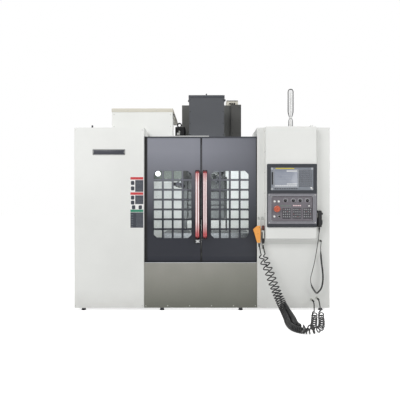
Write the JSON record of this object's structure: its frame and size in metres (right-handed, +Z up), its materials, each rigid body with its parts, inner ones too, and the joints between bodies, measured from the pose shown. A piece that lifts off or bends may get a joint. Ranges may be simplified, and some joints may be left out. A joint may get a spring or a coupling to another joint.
{
  "type": "cnc machining center",
  "caption": "Vertical machining centre with sliding front doors, grid windows, three linear axes, arm tool changer, operator panel, handwheel and curly-hose guns.",
  "frame": {"origin": "on the floor, below the middle of the machine's outline without its free hoses and cable", "axes": "+X to the right across the front, +Y from the front to the back, +Z up"},
  "size_m": [2.66, 2.9954, 2.511],
  "materials": {
    "steel": "ground",
    "casting": "painted casting",
    "white_paint": "satin",
    "stainless": "brushed",
    "dark_sheet": "satin",
    "black_plastic": "matte",
    "cabinet_grey": "satin",
    "bezel_plastic": "satin",
    "panel_grey": "matte",
    "lamp_plastic": "frosted",
    "orange_plastic": "gloss",
    "hose": "satin black",
    "door_paint": "semi gloss",
    "pane": "clear",
    "red_plastic": "gloss",
    "estop_red": "gloss"
  },
  "bodies": {
    "frame": {"leveling_feet": "steel", "base_casting": "casting", "column_casting": "casting", "left_cabinet": "white_paint", "right_cabinet": "white_paint", "front_apron": "stainless", "door_frame": "dark_sheet", "work_area_liner": "white_paint", "y_guides": "steel", "z_guides": "steel", "column_duct": "dark_sheet", "work_light": "white_paint", "magazine_cover": "white_paint", "magazine_frame": "casting", "changer_drive": "black_plastic", "power_cabinet": "cabinet_grey", "control_pod": "white_paint", "panel_bezel": "bezel_plastic", "screen_unit": "bezel_plastic", "operator_plate": "panel_grey", "signal_lamp": "lamp_plastic", "hooks_and_fittings": "steel", "handwheel_pendant": "black_plastic", "air_gun": "orange_plastic", "wash_gun": "black_plastic", "air_hose": "hose", "wash_hose": "hose", "handwheel_cable": "hose"},
    "left_door": {"left_door": "door_paint", "left_window": "pane", "left_handle": "red_plastic"},
    "door_latch": {"door_latch": "steel"},
    "right_door": {"right_door": "door_paint", "right_window": "pane", "right_handle": "red_plastic"},
    "saddle": {"saddle": "casting", "x_guides": "steel"},
    "table": {"table": "steel"},
    "head": {"head_casting": "casting", "head_cover": "dark_sheet", "z_cover_upper": "stainless"},
    "spindle": {"spindle": "steel"},
    "z_cover_middle": {"z_cover_middle": "stainless"},
    "z_cover_lower": {"z_cover_lower": "stainless"},
    "magazine_disc": {"magazine_disc": "steel"},
    "change_pot": {"change_pot": "steel"},
    "arm_lift": {"arm_sleeve": "steel"},
    "changer_arm": {"changer_arm": "steel"},
    "power_door": {"power_cabinet_door": "cabinet_grey"},
    "estop_button": {"estop_button": "estop_red"},
    "feed_knob": {"feed_knob": "black_plastic"},
    "rapid_knob": {"rapid_knob": "black_plastic"},
    "spindle_knob": {"spindle_knob": "black_plastic"},
    "mode_knob": {"mode_knob": "black_plastic"},
    "key_switch": {"key_switch": "black_plastic"},
    "handwheel": {"handwheel": "black_plastic"},
    "axis_selector": {"axis_selector": "black_plastic"},
    "step_selector": {"step_selector": "black_plastic"},
    "air_gun_trigger": {"air_gun_trigger": "steel"},
    "wash_gun_trigger": {"wash_gun_trigger": "steel"}
  },
  "joints": [
    {"name": "left_door_slide", "type": "slide", "parent": "frame", "child": "left_door", "axis": [-1, 0, 0], "range_m": [0, 0.461]},
    {"name": "right_door_slide", "type": "slide", "parent": "frame", "child": "right_door", "axis": [1, 0, 0], "range_m": [0, 0.461]},
    {"name": "door_latch_turn", "type": "hinge", "parent": "left_door", "child": "door_latch", "pos_m": [-0.0455, -1.01905, 0.723], "axis": [0, 1, 0], "range_deg": [0, 90]},
    {"name": "y_axis", "type": "slide", "parent": "frame", "child": "saddle", "axis": [0, 1, 0], "range_m": [-0.25, 0.25]},
    {"name": "x_axis", "type": "slide", "parent": "saddle", "child": "table", "axis": [1, 0, 0], "range_m": [-0.4, 0.4]},
    {"name": "z_axis", "type": "slide", "parent": "frame", "child": "head", "axis": [0, 0, 1], "range_m": [-0.5, 0]},
    {"name": "spindle_turn", "type": "hinge", "parent": "head", "child": "spindle", "pos_m": [0.05, -0.34275, 1.375], "axis": [0, 0, 1], "continuous": true},
    {"name": "z_cover_middle_slide", "type": "slide", "parent": "frame", "child": "z_cover_middle", "axis": [0, 0, 1], "range_m": [-0.334, 0]},
    {"name": "z_cover_lower_slide", "type": "slide", "parent": "frame", "child": "z_cover_lower", "axis": [0, 0, 1], "range_m": [-0.167, 0]},
    {"name": "magazine_turn", "type": "hinge", "parent": "frame", "child": "magazine_disc", "pos_m": [-0.6, -0.34275, 1.76], "axis": [1, 0, 0], "continuous": true},
    {"name": "pot_flip", "type": "hinge", "parent": "magazine_disc", "child": "change_pot", "pos_m": [-0.6, -0.34275, 1.46], "axis": [0, -1, 0], "range_deg": [0, 90]},
    {"name": "arm_lift", "type": "slide", "parent": "frame", "child": "arm_lift", "axis": [0, 0, 1], "range_m": [-0.115, 0]},
    {"name": "arm_swing", "type": "hinge", "parent": "arm_lift", "child": "changer_arm", "pos_m": [-0.275, -0.34275, 1.335], "axis": [0, 0, 1], "range_deg": [0, 270]},
    {"name": "power_door_swing", "type": "hinge", "parent": "frame", "child": "power_door", "pos_m": [0.459, 1.12825, 1.31], "axis": [0, 0, -1], "range_deg": [0, 110]},
    {"name": "estop_push", "type": "slide", "parent": "frame", "child": "estop_button", "axis": [0, 1, 0], "range_m": [0, 0.004]},
    {"name": "feed_knob_turn", "type": "hinge", "parent": "frame", "child": "feed_knob", "pos_m": [0.849, -1.13775, 1.146], "axis": [0, 1, 0], "range_deg": [-135, 135]},
    {"name": "rapid_knob_turn", "type": "hinge", "parent": "frame", "child": "rapid_knob", "pos_m": [0.93, -1.13775, 1.146], "axis": [0, 1, 0], "range_deg": [0, 90]},
    {"name": "spindle_knob_turn", "type": "hinge", "parent": "frame", "child": "spindle_knob", "pos_m": [1, -1.13775, 1.146], "axis": [0, 1, 0], "range_deg": [-60, 90]},
    {"name": "mode_knob_turn", "type": "hinge", "parent": "frame", "child": "mode_knob", "pos_m": [1.073, -1.13775, 1.146], "axis": [0, 1, 0], "range_deg": [-90, 90]},
    {"name": "key_turn", "type": "hinge", "parent": "frame", "child": "key_switch", "pos_m": [0.786, -1.13575, 0.985], "axis": [0, 1, 0], "range_deg": [0, 90]},
    {"name": "handwheel_turn", "type": "hinge", "parent": "frame", "child": "handwheel", "pos_m": [1.227, -1.08375, 0.925], "axis": [1, 0, 0], "continuous": true},
    {"name": "axis_selector_turn", "type": "hinge", "parent": "frame", "child": "axis_selector", "pos_m": [1.227, -1.10275, 1.013], "axis": [1, 0, 0], "range_deg": [-60, 60]},
    {"name": "step_selector_turn", "type": "hinge", "parent": "frame", "child": "step_selector", "pos_m": [1.227, -1.06475, 1.013], "axis": [1, 0, 0], "range_deg": [-45, 45]},
    {"name": "air_trigger_press", "type": "hinge", "parent": "frame", "child": "air_gun_trigger", "pos_m": [0.571, -1.07775, 0.845], "axis": [0, -1, 0], "range_deg": [0, 8], "stiffness_Nm_per_rad": 0.6},
    {"name": "wash_trigger_press", "type": "hinge", "parent": "frame", "child": "wash_gun_trigger", "pos_m": [0.629, -1.09875, 0.833], "axis": [1, 0, 0], "range_deg": [0, 6], "stiffness_Nm_per_rad": 0.6}
  ],
  "couplings": [
    {"joint": "z_cover_middle_slide", "follows": "z_axis", "ratio": 0.66667},
    {"joint": "z_cover_lower_slide", "follows": "z_axis", "ratio": 0.33333}
  ]
}
